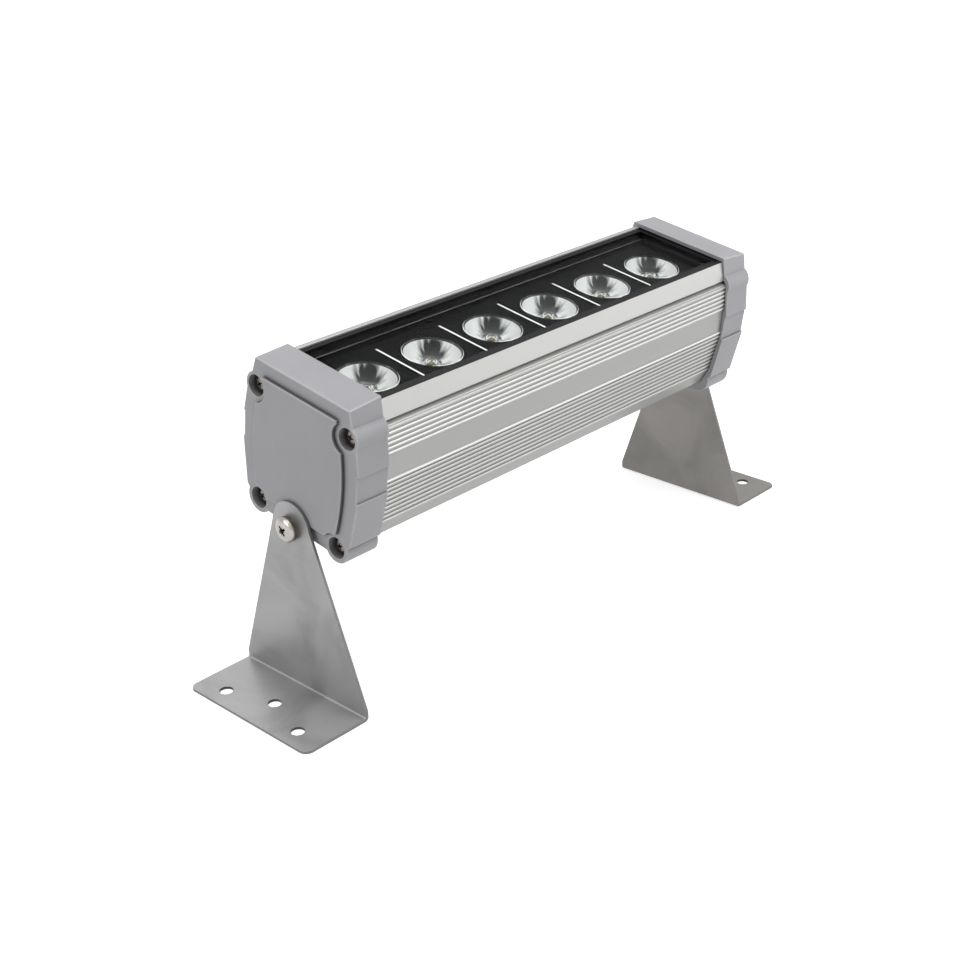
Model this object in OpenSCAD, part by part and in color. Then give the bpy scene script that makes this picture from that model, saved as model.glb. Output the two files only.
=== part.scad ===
// Outdoor wall washer light: a finned aluminium housing between two cast end caps,
// carried at its ends by two bent stainless brackets that let it tilt.
// X runs along the light, -Y is its front, +Z is up. The origin lies midway between
// the two feet, on the plane that they stand on.
// The head is drawn about the pivot axis, upright, and then tilted into place.

/* [Housing] */
// Length of the extruded housing
housing_l = 263; // [243:1:300]
// Height of the housing profile, from its flat base to the window rim
housing_h = 75.1; // [74:0.1:84]
// Width of the housing at its widest line, the ledge
housing_w = 77; // [76:0.5:84]
// Width over the window rim
rim_w = 62.4; // [61:0.2:66]
// Width of the flat base
base_w = 62; // [60:0.5:66]
// Thickness of the outer walls
wall_t = 2.6; // [2:0.1:3.2]
// Height of the plain strip below the window rim
strip_h = 10.1; // [8:0.1:12]
// How far the plain strip leans outwards on its way down
strip_flare = 3.2; // [2:0.1:4]
// Height of the groove under the plain strip
undercut_h = 2.2; // [1:0.1:3]
// Depth of the groove under the plain strip
undercut_d = 1.5; // [0.5:0.1:2]
// Height of one cooling rib above the wall
rib_h = 0.7; // [0.3:0.1:1]
// Number of ribs in the upper band
upper_ribs_n = 6; // [3:1:8]
// Height of the upper ribbed band
upper_band_h = 14.9; // [12:0.1:16]
// Height of the plain band between the two ribbed bands
plain_band_h = 13.3; // [11:0.1:16]
// Number of ribs in the lower band
lower_ribs_n = 9; // [5:1:11]
// Height of the lower ribbed band
lower_band_h = 25.2; // [22:0.1:27]

/* [End caps] */
// Depth of a cap along the light
cap_d = 19.5; // [17:0.5:23]
// Depth of the socket that takes the end of the housing
socket_d = 2; // [1.5:0.1:3]
// Thickness of the cap's end wall
cap_wall_t = 3; // [2:0.1:4]
// Width of the cap across its top
cap_top_w = 64.6; // [64:0.1:68]
// How far the cap stands above the window rim
cap_proud = 2.5; // [1:0.1:4]
// Drop of the cap's top face towards its outer end
cap_top_drop = 1.5; // [0:0.1:2.5]
// Height of the raised panel on the end wall
panel_t = 1.9; // [0.6:0.1:3]
// Radius of the lobes round the upper screws
upper_lobe_r = 7.2; // [6.8:0.1:8]
// Radius of the lobes round the lower screws
lower_lobe_r = 8; // [7:0.1:8.5]
// Radius of the counterbores for the screw heads
counterbore_r = 5.5; // [4.5:0.1:6]
// Depth of the counterbores
counterbore_d = 4.8; // [4:0.1:8]
// Spacing of the upper cap screws across the cap
upper_screw_w = 63.4; // [62:0.1:65]
// Spacing of the lower cap screws across the cap
lower_screw_w = 56.4; // [54:0.1:58]
// Height of the upper cap screws above the pivot axis
upper_screw_z = 61.8; // [60:0.1:63]
// Height of the lower cap screws above the pivot axis
lower_screw_z = 1.4; // [1:0.1:2]
// Thickness of the silicone gasket between a cap and the housing
gasket_t = 1; // [0.6:0.1:1.4]

/* [Window and optics] */
// Thickness of the window glass
glass_t = 4; // [3:0.1:5]
// Depth of the glass and its seal below the window rim
glass_recess = 0.8; // [0.4:0.1:1.2]
// Width of the seat round the glass, from the light opening to the rim wall
seat_w = 4.1; // [3.5:0.1:5]
// Width of the light opening below the glass
opening_w = 49; // [47:0.5:50]
// Number of lenses
lens_n = 6; // [3:1:6]
// Spacing of the lenses along the light
lens_pitch = 43.4; // [41:0.1:44]
// Radius of a lens at its front flange
lens_r = 15.4; // [13:0.1:15.8]
// Height of a lens
lens_h = 12.8; // [11:0.1:14]
// Depth of the optic tray, from the glass seat down to its floor
tray_d = 3.3; // [2.5:0.1:5]
// Thickness of the optic tray
tray_t = 1.5; // [1:0.1:2]
// Thickness of the circuit board that carries the light sources
board_t = 1.6; // [1:0.1:2]
// Width of that circuit board
board_w = 44; // [38:0.5:46]
// Thickness of the heat pad under it
pad_t = 0.5; // [0.3:0.1:1]
// Thickness of the shelf that carries the board
shelf_t = 3.6; // [3:0.1:5]

/* [Brackets] */
// Height of the pivot axis above the surface that the feet stand on
pivot_h = 90.5; // [88:0.5:120]
// Tilt of the head from upright, towards the front, as it is shown
head_tilt = 9.5; // [0:0.5:30]
// Width of a bracket at its foot
bracket_w = 90; // [80:1:110]
// Reach of a foot, outwards from the outer face of its arm
foot_reach = 38.5; // [34:0.5:60]
// Thickness of the stainless sheet
sheet_t = 1.5; // [1:0.1:2]
// Inner radius of the bend
bend_r = 1; // [0.5:0.1:3]
// Radius of the rounded tip of the arm
arm_tip_r = 13.3; // [11:0.1:16]
// Height of the upright sides of the arm above the foot
arm_straight_h = 4; // [2:0.5:10]
// Radius of the outer corners of the foot
foot_corner_r = 4.5; // [2:0.5:8]
// Radius of the fixing holes in the foot
fixing_hole_r = 3.5; // [2.5:0.1:4.5]
// Spacing of the two outer fixing holes
fixing_w = 55; // [40:1:66]
// Distance of the outer fixing holes from the arm
fixing_reach = 28.5; // [24:0.5:32]
// Distance of the middle fixing hole from the arm
middle_reach = 20; // [12:0.5:28]

/* [Hardware] */
// Shank radius of the pivot screws
pivot_r = 2.95; // [2.5:0.05:3.5]
// Head radius of the pivot screws
pivot_head_r = 6.3; // [5.5:0.1:7]
// Head height of the pivot screws
pivot_head_h = 3.8; // [2.5:0.1:4.5]
// Length of the pivot screws below the head
pivot_screw_l = 21; // [18:0.5:22]
// Thickness of the spring washer under a pivot screw
washer_t = 1.2; // [0.8:0.1:2]
// Radius of the spring washer
washer_r = 5.7; // [5:0.1:6]
// How far the friction flange stands above the raised panel
flange_proud = 0.3; // [0.2:0.1:2]
// Radius of the friction flange
flange_r = 9; // [7:0.1:12]
// Radius of the sleeve that the arm turns on
sleeve_r = 4; // [3.9:0.05:5]
// Shank radius of the cap screws
cap_screw_r = 1.85; // [1.6:0.05:1.9]
// Head radius of the cap screws
cap_head_r = 3.9; // [3.5:0.1:4.3]
// Head height of the cap screws
cap_head_h = 2.6; // [2:0.1:3]
// Length of the cap screws below the head
cap_screw_l = 22; // [18:0.5:28]
// Radius of the cable gland's thread
gland_r = 6; // [5:0.1:7.5]
// Radius of the cable passage through the gland
cable_r = 3.6; // [2.5:0.1:4]

/* [Driver] */
// Length of the driver circuit board
driver_l = 190; // [150:1:210]
// Gap between the driver's tray and the walls of the cavity
driver_gap = 4.1; // [1:0.1:8]
// Height of the driver board above the cavity floor
driver_rise = 5; // [3:0.1:6]
// Length of the transformer
transformer_l = 26; // [18:0.5:30]
// Height of the transformer
transformer_h = 19; // [12:0.5:22]
// Radius of the storage capacitors
capacitor_r = 5; // [3:0.1:6]
// Height of the storage capacitors
capacitor_h = 20; // [12:0.5:24]
// Radius of the inner leads
lead_r = 1.1; // [0.6:0.1:1.3]

/* [Hidden] */
$fn = 64;
// Past-the-surface length that every cut uses
overrun = 1;
// Clearance between fixed pieces that nest in each other
fit_gap = 0.1;
// Looser clearance of a piece that drops into a cavity
loose_gap = 0.3;
// Running clearance between the sleeve and the arm
running_gap = 0.06;
// Gap between flat faces that turn on each other
turning_gap = 0.05;

function numbered(stem) = [for (i = [1 : lens_n]) str(stem, i)];

// Finishes
paint_grey = "#a6a6ab";
anodised = "#c9cac8";
stainless = "#b4b3b0";
black_plastic = "#1c1c1e";
black_rubber = "#141414";
clear = "#dfe8ea80";
brass_tone = "#b79a5b";
board_white = "#e8e8e2";
board_green = "#2f6b45";

// Heights in the head's own frame, measured from the pivot axis
base_rise = 0.4;
base_z = base_rise;
rim_z = base_z + housing_h;
strip_z = rim_z - strip_h;
upper_band_z = strip_z - undercut_h;
plain_band_z = upper_band_z - upper_band_h;
ledge_z = plain_band_z - plain_band_h;
ledge_t = 1.4;
lower_band_z = ledge_z - ledge_t;
foot_strip_z = lower_band_z - lower_band_h;

// Half widths of the housing profile down its side
rim_hw = rim_w / 2;
strip_hw = rim_hw + strip_flare;
housing_hw = housing_w / 2;
base_hw = base_w / 2;
band_lean_share = 0.6;
ledge_step = 0.6;
band_top_hw = strip_hw + (housing_hw - strip_hw) * 0.3;
band_low_hw = strip_hw + (housing_hw - strip_hw) * 0.75;
lower_top_hw = housing_hw - ledge_step;
lower_low_hw = base_hw + (housing_hw - base_hw) * 0.4;

// One ribbed stretch from (y0, z0) down to (y1, z1), as points with raised ribs
rib_width_share = 0.6;
rib_crown_share = 0.34;
function between(a, b, t) = a + (b - a) * t;
function ribbed(y0, z0, y1, z1, n) = [
    for (i = [0 : n - 1], k = [0 : 3])
        let (half = (k == 0 || k == 3 ? rib_width_share : rib_crown_share) / 2,
             t = (i + 1 / 2 + (k < 2 ? -half : half)) / n)
        [between(y0, y1, t) + (k == 1 || k == 2 ? rib_h : 0), between(z0, z1, t)]
];

// Right half of the profile, from the rim down to the base
half_profile = concat(
    [[rim_hw, rim_z], [strip_hw, strip_z],
     [strip_hw - undercut_d, strip_z - undercut_h * 0.25],
     [strip_hw - undercut_d, strip_z - undercut_h * 0.75],
     [band_top_hw, upper_band_z]],
    ribbed(band_top_hw, upper_band_z, band_low_hw, plain_band_z, upper_ribs_n),
    [[band_low_hw, plain_band_z], [housing_hw - ledge_step, ledge_z + ledge_step],
     [housing_hw, ledge_z], [housing_hw, lower_band_z + ledge_step],
     [lower_top_hw, lower_band_z]],
    ribbed(lower_top_hw, lower_band_z, lower_low_hw, foot_strip_z, lower_ribs_n),
    [[lower_low_hw, foot_strip_z], [base_hw, base_z]]
);

// The same profile without its ribs and groove, grown by a clearance
function half_envelope(grow) = [
    [rim_hw + grow, rim_z + grow],
    [strip_hw + grow, strip_z],
    [band_top_hw + rib_h + grow, upper_band_z],
    [band_low_hw + rib_h + grow, plain_band_z + grow],
    [band_low_hw + grow, plain_band_z - grow],
    [housing_hw - ledge_step + grow, ledge_z + ledge_step],
    [housing_hw + grow, ledge_z],
    [housing_hw + grow, lower_band_z],
    [lower_low_hw + rib_h + grow, foot_strip_z],
    [lower_low_hw + grow, foot_strip_z - rib_h],
    [base_hw + grow, base_z - grow]
];

function mirrored(points) = [for (i = [len(points) - 1 : -1 : 0]) [-points[i].x, points[i].y]];
module both_halves(points) {
    polygon(concat(points, mirrored(points)));
}

// Heights of the stack behind the window
seal_lip_t = 0.7;
seal_bed_t = 0.6;
seal_lip_w = 2.9;
glass_top_z = rim_z - glass_recess - seal_lip_t;
glass_low_z = glass_top_z - glass_t;
seat_z = glass_low_z - seal_bed_t;
opening_hw = opening_w / 2;
seat_hw = opening_hw + seat_w;
floor_z = seat_z - tray_d;
holder_top_z = floor_z - tray_t - fit_gap;
flange_face_z = floor_z + loose_gap;
lens_rise = 1.4;
lens_low_z = flange_face_z - lens_h;
board_top_z = lens_low_z - lens_rise;
pad_top_z = board_top_z - board_t;
shelf_top_z = pad_top_z - pad_t;
shelf_low_z = shelf_top_z - shelf_t;

// Screw ports in the housing
port_r = 2;
port_wall_t = 2;
upper_screw_y = upper_screw_w / 2;
lower_screw_y = lower_screw_w / 2;

// Places along the light, on the right-hand side
housing_x = housing_l / 2;
socket_x = housing_x + gasket_t;
cap_rim_x = socket_x - socket_d;
cap_face_x = cap_rim_x + cap_d;
end_wall_x = cap_face_x - cap_wall_t;
panel_x = cap_face_x + panel_t;
flange_t = panel_t + flange_proud;
arm_inner_x = cap_face_x + flange_t + turning_gap;
arm_outer_x = arm_inner_x + sheet_t;
washer_x = arm_outer_x + turning_gap;
head_x = washer_x + washer_t;
lens_x0 = -lens_pitch * (lens_n - 1) / 2;

// Draws a YZ outline as a slab between two places along X
module slab(x0, x1) {
    translate([x0, 0, 0]) rotate([90, 0, 90]) linear_extrude(x1 - x0) children();
}
// Round bar along X between two places
module bar(x0, x1, r, y = 0, z = 0) {
    translate([x0, y, z]) rotate([0, 90, 0]) cylinder(h = x1 - x0, r = r);
}
// Hexagon along X between two places, across its flats
module hexagon_bar(x0, x1, flats, y = 0, z = 0) {
    translate([x0, y, z]) rotate([0, 90, 0])
        cylinder(h = x1 - x0, r = flats / sqrt(3), $fn = 6);
}
// A block given by its centre and its base height
module block(length, width, height, x = 0, y = 0, z = 0) {
    translate([x - length / 2, y - width / 2, z]) cube([length, width, height]);
}
// Places the head's frame on the pivot axis, tilted
module on_head() {
    translate([0, 0, pivot_h]) rotate([head_tilt, 0, 0]) children();
}
// Left pieces mirror the right ones
module left() {
    mirror([1, 0, 0]) children();
}
// Repeats a child at both screw positions of a height
module at_screws(y, z) {
    for (side = [-1, 1]) translate([0, side * y, z]) children();
}

// Housing, an extruded profile with a window pocket above and a driver cavity below
pocket_wall_t = 2.4;
cavity_top_share = 0.62;
module cavity_outline() {
    side_pocket_z = between(shelf_low_z, upper_screw_z - port_r - port_wall_t, cavity_top_share);
    both_halves([
        [opening_hw + pocket_wall_t, shelf_low_z],
        [opening_hw + pocket_wall_t, side_pocket_z],
        [band_low_hw - wall_t, side_pocket_z],
        [band_low_hw - wall_t, plain_band_z],
        [housing_hw - ledge_step - wall_t, ledge_z],
        [lower_top_hw - wall_t, lower_band_z],
        [lower_low_hw - wall_t, foot_strip_z],
        [base_hw - wall_t, base_z + wall_t]
    ]);
}
module port_outline(r) {
    for (side = [-1, 1]) {
        translate([side * upper_screw_y, upper_screw_z]) circle(r = r);
        translate([side * lower_screw_y, lower_screw_z]) circle(r = r);
    }
}
module housing_outline() {
    difference() {
        both_halves(half_profile);
        both_halves([[seat_hw, rim_z + overrun], [seat_hw, seat_z],
                     [opening_hw, seat_z], [opening_hw, shelf_top_z]]);
        difference() {
            cavity_outline();
            port_outline(port_r + port_wall_t);
        }
        port_outline(port_r);
    }
}
board_end_gap = 8.5;
board_l = housing_l - 2 * board_end_gap;
// Both leads pass beside the last lens holder
holder_r = 16.8;
lead_gap = 3;
lead_x = -(board_l / 2 + lead_gap + lead_r);
lead_y = holder_r + lead_r + fit_gap;
lead_pitch = 2 * lead_r + loose_gap;
board_screw_r = 1.45;
board_hole_r = board_screw_r + fit_gap;
module board_screw_places() {
    for (i = [0 : lens_n - 2])
        translate([lens_x0 + (i + 1 / 2) * lens_pitch, 0, 0]) children();
}
module housing() {
    color(anodised) on_head() difference() {
        slab(-housing_x, housing_x) housing_outline();
        translate([lead_x, lead_y + lead_pitch / 2, shelf_low_z - overrun])
            cylinder(h = shelf_t + 2 * overrun, r = lead_pitch / 2 + lead_r + loose_gap);
        board_screw_places() translate([0, 0, shelf_low_z - overrun])
            cylinder(h = shelf_t + 2 * overrun, r = board_hole_r);
    }
}

// End cap: block on top, lobes round the screws, three stepped facets down each side
cap_top_z = rim_z + cap_proud;
block_h = 10.5;
block_flare = 2.7;
facet_step = 0.6;
facet_margin = 2;
cap_base_z = base_z - 3.7;
pivot_lobe_r = 8;
lobe_gap = 2.5;
facet_a_z = upper_screw_z - lobe_gap;
facet_b_z = between(ledge_z, plain_band_z, 0.75);
facet_c_z = ledge_z - 4;
facet_c_low_z = lower_screw_z + 4.4;
module cap_outline() {
    hw = cap_top_w / 2;
    wide = housing_hw + facet_margin;
    both_halves([
        [hw, cap_top_z],
        [hw + block_flare, cap_top_z - block_h],
        [wide - 2.2 * facet_margin / 2, facet_a_z],
        [wide + facet_step / 4, facet_b_z],
        [wide - facet_step, facet_b_z - facet_step / 4],
        [wide - facet_step, facet_c_z + facet_step / 2],
        [wide + facet_step / 2, facet_c_z],
        [lower_screw_y + lower_lobe_r + lobe_gap / 2, facet_c_low_z],
        [lower_screw_y + lower_lobe_r - lobe_gap / 2, facet_c_low_z - lobe_gap],
        [lower_screw_y, cap_base_z]
    ]);
    for (side = [-1, 1]) {
        translate([side * upper_screw_y, upper_screw_z]) circle(r = upper_lobe_r);
        translate([side * lower_screw_y, lower_screw_z]) circle(r = lower_lobe_r);
    }
    circle(r = pivot_lobe_r);
}
// Hollow of the cap, which joins the housing's two cavities
module cap_hollow_outline() {
    difference() {
        both_halves([
            [opening_hw, seat_z],
            [opening_hw, shelf_low_z],
            [band_low_hw - wall_t, shelf_low_z],
            [housing_hw - wall_t - ledge_step, ledge_z],
            [lower_low_hw - wall_t, foot_strip_z],
            [base_hw - 2 * wall_t, base_z + wall_t]
        ]);
        for (side = [-1, 1]) {
            translate([side * upper_screw_y, upper_screw_z]) circle(r = upper_lobe_r);
            translate([side * lower_screw_y, lower_screw_z]) circle(r = lower_lobe_r);
        }
        circle(r = pivot_lobe_r);
    }
}
// Raised panel of the end wall, with bowed sides and a notch round each screw
panel_top_gap = 7.2;
panel_base_gap = 8.6;
panel_side_gap = 9;
panel_bow = 5.6;
panel_bow_n = 8;
notch_w = 2.6;
pivot_notch_w = 1.2;
module panel_outline() {
    side_y = housing_hw + facet_margin - panel_side_gap;
    top_z = cap_top_z - cap_top_drop - panel_top_gap;
    corner_y = lower_screw_y;
    corner_z = lower_screw_z + counterbore_r;
    upper = [for (i = [0 : panel_bow_n - 1]) let (t = 1 - i / panel_bow_n)
        [side_y - panel_bow * t * t, between(ledge_z, top_z, t)]];
    lower = [for (i = [0 : panel_bow_n]) let (t = i / panel_bow_n)
        [between(side_y, corner_y, t * t), between(ledge_z, corner_z, t)]];
    difference() {
        both_halves(concat(upper, lower,
                           [[lower_screw_y - lower_lobe_r, cap_base_z + panel_base_gap]]));
        for (side = [-1, 1]) {
            translate([side * upper_screw_y, upper_screw_z]) circle(r = counterbore_r + notch_w);
            translate([side * lower_screw_y, lower_screw_z]) circle(r = counterbore_r + notch_w);
        }
        circle(r = flange_r + pivot_notch_w);
    }
}
insert_r = 4.6;
insert_l = 12;
screw_hole_r = cap_screw_r + loose_gap;
gland_z = 40;
module cap_body() {
    difference() {
        union() {
            difference() {
                slab(cap_rim_x, cap_face_x) cap_outline();
                slab(cap_rim_x - overrun, socket_x) both_halves(half_envelope(loose_gap / 2));
                slab(cap_rim_x, end_wall_x) cap_hollow_outline();
            }
            slab(end_wall_x, panel_x) panel_outline();
        }
        cap_screw_cuts(upper_screw_y, upper_screw_z);
        cap_screw_cuts(lower_screw_y, lower_screw_z);
        bar(cap_face_x - insert_l - fit_gap, panel_x + overrun, insert_r + fit_gap);
        bar(washer_x + washer_t - pivot_screw_l - fit_gap, panel_x, pivot_r + loose_gap);
        top_slope();
    }
}
module cap_screw_cuts(y, z) {
    at_screws(y, z) {
        bar(cap_rim_x - overrun, panel_x + overrun, screw_hole_r);
        bar(cap_face_x - counterbore_d, panel_x + overrun, counterbore_r);
    }
}
// Wedge that slopes the cap's top face down to its outer end
module top_slope() {
    reach = cap_top_w;
    rotate([90, 0, 0]) linear_extrude(2 * reach, center = true) polygon([
        [cap_rim_x, cap_top_z],
        [cap_face_x, cap_top_z - cap_top_drop],
        [cap_face_x + overrun, cap_top_z - cap_top_drop],
        [cap_face_x + overrun, cap_top_z + overrun],
        [cap_rim_x, cap_top_z + overrun]
    ]);
}
module end_cap_left() {
    color(paint_grey) on_head() left() cap_body();
}
module end_cap_right() {
    color(paint_grey) on_head() difference() {
        cap_body();
        bar(end_wall_x - overrun, panel_x + overrun, gland_r + fit_gap, z = gland_z);
    }
}

// Silicone gasket, squeezed between the socket floor and the end of the housing
module cap_gasket() {
    difference() {
        slab(housing_x, socket_x) difference() {
            both_halves(half_envelope(-loose_gap));
            cap_hollow_outline();
        }
        for (place = [[upper_screw_y, upper_screw_z], [lower_screw_y, lower_screw_z]])
            at_screws(place.x, place.y)
                bar(housing_x - overrun, socket_x + overrun, screw_hole_r);
    }
}
module cap_gasket_left() {
    color(black_rubber) on_head() left() cap_gasket();
}
module cap_gasket_right() {
    color(black_rubber) on_head() cap_gasket();
}

// Pan head screw along X, its head's seat at x, with a cross recess
cross_w_share = 0.24;
cross_l_share = 1.15;
cross_d_share = 0.5;
dome_flatness = 2;
module pan_screw(x, length, shank_r, head_r, head_h) {
    dome_r = (head_r * head_r + head_h * head_h) / (2 * head_h) * dome_flatness;
    bar(x - length, x, shank_r);
    difference() {
        translate([x, 0, 0]) rotate([0, 90, 0]) rotate_extrude() intersection() {
            translate([0, head_h - dome_r]) circle(r = dome_r);
            square([head_r, head_h]);
        }
        for (turn = [45, 135])
            translate([x + head_h * (1 - cross_d_share), 0, 0]) rotate([turn, 0, 0])
                block(2 * head_h, cross_l_share * head_r, cross_w_share * head_r,
                      x = head_h, z = -cross_w_share * head_r / 2);
    }
}
module cap_screws() {
    for (place = [[upper_screw_y, upper_screw_z], [lower_screw_y, lower_screw_z]])
        at_screws(place.x, place.y)
            pan_screw(cap_face_x - counterbore_d, cap_screw_l, cap_screw_r, cap_head_r,
                      cap_head_h);
}
module cap_screws_left() {
    color(stainless) on_head() left() cap_screws();
}
module cap_screws_right() {
    color(stainless) on_head() cap_screws();
}

// Window glass and the channel-shaped seal that frames it
glass_edge_t = 1;
seal_x = housing_x - fit_gap;
seal_hw = seat_hw - fit_gap;
glass_x = seal_x - glass_edge_t;
glass_hw = seal_hw - glass_edge_t;
module window_glass() {
    color(clear) on_head()
        block(2 * (glass_x - fit_gap), 2 * (glass_hw - fit_gap), glass_t - 2 * fit_gap,
              z = glass_low_z + fit_gap);
}
module glass_seal() {
    seal_h = seal_lip_t + glass_t + seal_bed_t;
    color(black_rubber) on_head() difference() {
        block(2 * seal_x, 2 * seal_hw, seal_h, z = seat_z);
        block(2 * glass_x, 2 * glass_hw, glass_t, z = glass_low_z);
        block(2 * (seal_x - seal_lip_w), 2 * (seal_hw - seal_lip_w), seal_h + overrun,
              z = glass_low_z);
        block(2 * (seal_x - seat_w), 2 * opening_hw, seal_h, z = seat_z - overrun);
    }
}

// Optic tray, a black pan with a round hole for each lens and a rib between lenses
tray_end_gap = 2;
tray_x = housing_x - tray_end_gap;
tray_hw = opening_hw - loose_gap;
tray_wall_t = 1;
divider_w = 1.2;
divider_l = 34.8;
divider_h = 0.8;
module lens_places() {
    for (i = [0 : lens_n - 1]) translate([lens_x0 + i * lens_pitch, 0, 0]) children();
}
module optic_tray() {
    tray_low_z = floor_z - tray_t;
    color(black_plastic) on_head() {
        difference() {
            block(2 * tray_x, 2 * tray_hw, seat_z - loose_gap - tray_low_z, z = tray_low_z);
            block(2 * (tray_x - tray_wall_t), 2 * (tray_hw - tray_wall_t), tray_d + overrun,
                  z = floor_z);
            lens_places() translate([0, 0, tray_low_z - overrun])
                cylinder(h = tray_t + 2 * overrun, r = lens_r + loose_gap);
        }
        board_screw_places() block(divider_w, divider_l, divider_h, z = floor_z);
    }
}

// Collimator lens: a flange over a cone, with a well that covers the light source
lens_flange_t = 1.5;
lens_neck_share = 0.36;
well_r = 3.4;
well_d = 5;
bowl_r_share = 0.72;
bowl_d = 1.2;
module lens(i) {
    cone_h = lens_h - lens_flange_t;
    bowl_r = lens_r * bowl_r_share;
    bowl_ball_r = (bowl_r * bowl_r + bowl_d * bowl_d) / (2 * bowl_d);
    color(clear) on_head() translate([lens_x0 + i * lens_pitch, 0, lens_low_z])
        difference() {
            union() {
                cylinder(h = cone_h, r1 = lens_r * lens_neck_share, r2 = lens_r - 2 * lens_gap);
                translate([0, 0, cone_h]) cylinder(h = lens_flange_t, r = lens_r);
            }
            translate([0, 0, -overrun]) cylinder(h = well_d + overrun, r = well_r);
            translate([0, 0, lens_h - bowl_d + bowl_ball_r]) sphere(r = bowl_ball_r);
        }
}

// Lens holder: a black collar that stands on the board under the tray
lens_gap = 0.5;
holder_foot_r = 6.4;
module lens_holder(i) {
    height = holder_top_z - board_top_z;
    cone_low = lens_r * lens_neck_share + lens_gap;
    color(black_plastic) on_head() translate([lens_x0 + i * lens_pitch, 0, board_top_z])
        difference() {
            cylinder(h = height, r = holder_r);
            translate([0, 0, lens_rise - fit_gap])
                cylinder(h = height - lens_rise + fit_gap, r1 = cone_low, r2 = lens_r - lens_gap);
            translate([0, 0, height - fit_gap]) cylinder(h = overrun, r = lens_r - lens_gap);
            translate([0, 0, -overrun]) cylinder(h = lens_rise + overrun, r = holder_foot_r);
        }
}

// Light source: a square package with a domed cover
led_w = 5;
led_t = 0.8;
led_dome_r = 2.2;
module led(i) {
    color("#e9dca0") on_head() translate([lens_x0 + i * lens_pitch, 0, board_top_z]) {
        block(led_w, led_w, led_t);
        translate([0, 0, led_t]) intersection() {
            sphere(r = led_dome_r);
            block(2 * led_dome_r, 2 * led_dome_r, led_dome_r);
        }
    }
}
module led_board() {
    color(board_white) on_head() difference() {
        block(board_l, board_w, board_t, z = pad_top_z);
        board_screw_places() translate([0, 0, pad_top_z - overrun])
            cylinder(h = board_t + 2 * overrun, r = board_hole_r);
    }
}
module thermal_pad() {
    color("#9aa4b4") on_head() difference() {
        block(board_l, board_w, pad_t, z = shelf_top_z);
        board_screw_places() translate([0, 0, shelf_top_z - overrun])
            cylinder(h = pad_t + 2 * overrun, r = board_hole_r);
    }
}
board_head_r = 2.7;
board_head_h = 1.8;
module board_screws() {
    shank_l = board_t + pad_t + shelf_t - loose_gap;
    color(stainless) on_head() board_screw_places() translate([0, 0, board_top_z]) {
        translate([0, 0, -shank_l]) cylinder(h = shank_l, r = board_screw_r);
        difference() {
            cylinder(h = board_head_h, r = board_head_r);
            for (turn = [0, 90]) rotate([0, 0, turn])
                block(cross_l_share * board_head_r, cross_w_share * board_head_r,
                      board_head_h, z = board_head_h * cross_d_share);
        }
    }
}

// Driver in the lower cavity: an insulating tray, a board and its parts
driver_tray_t = 1;
driver_tray_lip_h = 9;
driver_board_t = 1.6;
driver_w = 2 * (base_hw - wall_t - driver_gap - driver_tray_t - loose_gap);
post_r = 2.5;
post_inset = 8;
cavity_floor_z = base_z + wall_t;
driver_z = cavity_floor_z + driver_rise;
driver_top_z = driver_z + driver_board_t;
module driver_tray() {
    outer_w = driver_w + 2 * (driver_tray_t + loose_gap);
    outer_l = driver_l + 2 * (driver_tray_t + loose_gap);
    color("#d8d2c0") on_head() {
        difference() {
            block(outer_l, outer_w, driver_tray_lip_h, z = cavity_floor_z);
            block(outer_l - 2 * driver_tray_t, outer_w - 2 * driver_tray_t,
                  driver_tray_lip_h, z = cavity_floor_z + driver_tray_t);
        }
        for (sx = [-1, 1], sy = [-1, 1])
            translate([sx * (driver_l / 2 - post_inset), sy * (driver_w / 2 - post_inset),
                       cavity_floor_z + driver_tray_t])
                cylinder(h = driver_rise - driver_tray_t, r = post_r);
    }
}
module driver_board() {
    color(board_green) on_head()
        block(driver_l, driver_w, driver_board_t, z = driver_z);
}
transformer_x = -10;
transformer_w = 22;
winding_share = 0.7;
core_share = 0.35;
module driver_transformer() {
    winding_r = transformer_h * winding_share / 2;
    color("#8a5a2b") on_head() {
        block(transformer_l, transformer_w, transformer_h * core_share, x = transformer_x,
              z = driver_top_z);
        translate([transformer_x, 0, driver_top_z + transformer_h * core_share]) {
            cylinder(h = transformer_h * (1 - 2 * core_share), r = winding_r);
            translate([0, 0, transformer_h * (1 - 2 * core_share)])
                block(transformer_l, transformer_w, transformer_h * core_share);
        }
    }
}
capacitor_x = 35;
capacitor_gap = 3;
module driver_capacitors() {
    color("#27345e") on_head() for (i = [0 : 2])
        translate([capacitor_x + i * (2 * capacitor_r + capacitor_gap), 0, driver_top_z])
            cylinder(h = capacitor_h, r = capacitor_r);
}
chip_l = 10;
chip_w = 8;
chip_h = 2.2;
chip_x = -45;
chip_pitch = 14;
module driver_chips() {
    color("#2b2b2d") on_head() for (i = [0 : 1], side = [-1, 1])
        block(chip_l, chip_w, chip_h, x = chip_x + i * chip_pitch, y = side * chip_l,
              z = driver_top_z);
}
terminal_l = 12;
terminal_w = 16;
terminal_h = 11;
terminal_x = -(driver_l / 2 - terminal_l);
module terminal_block() {
    color("#3b7a4a") on_head()
        block(terminal_l, terminal_w, terminal_h, x = terminal_x,
              y = (driver_w - terminal_w) / 2, z = driver_top_z);
}

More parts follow.
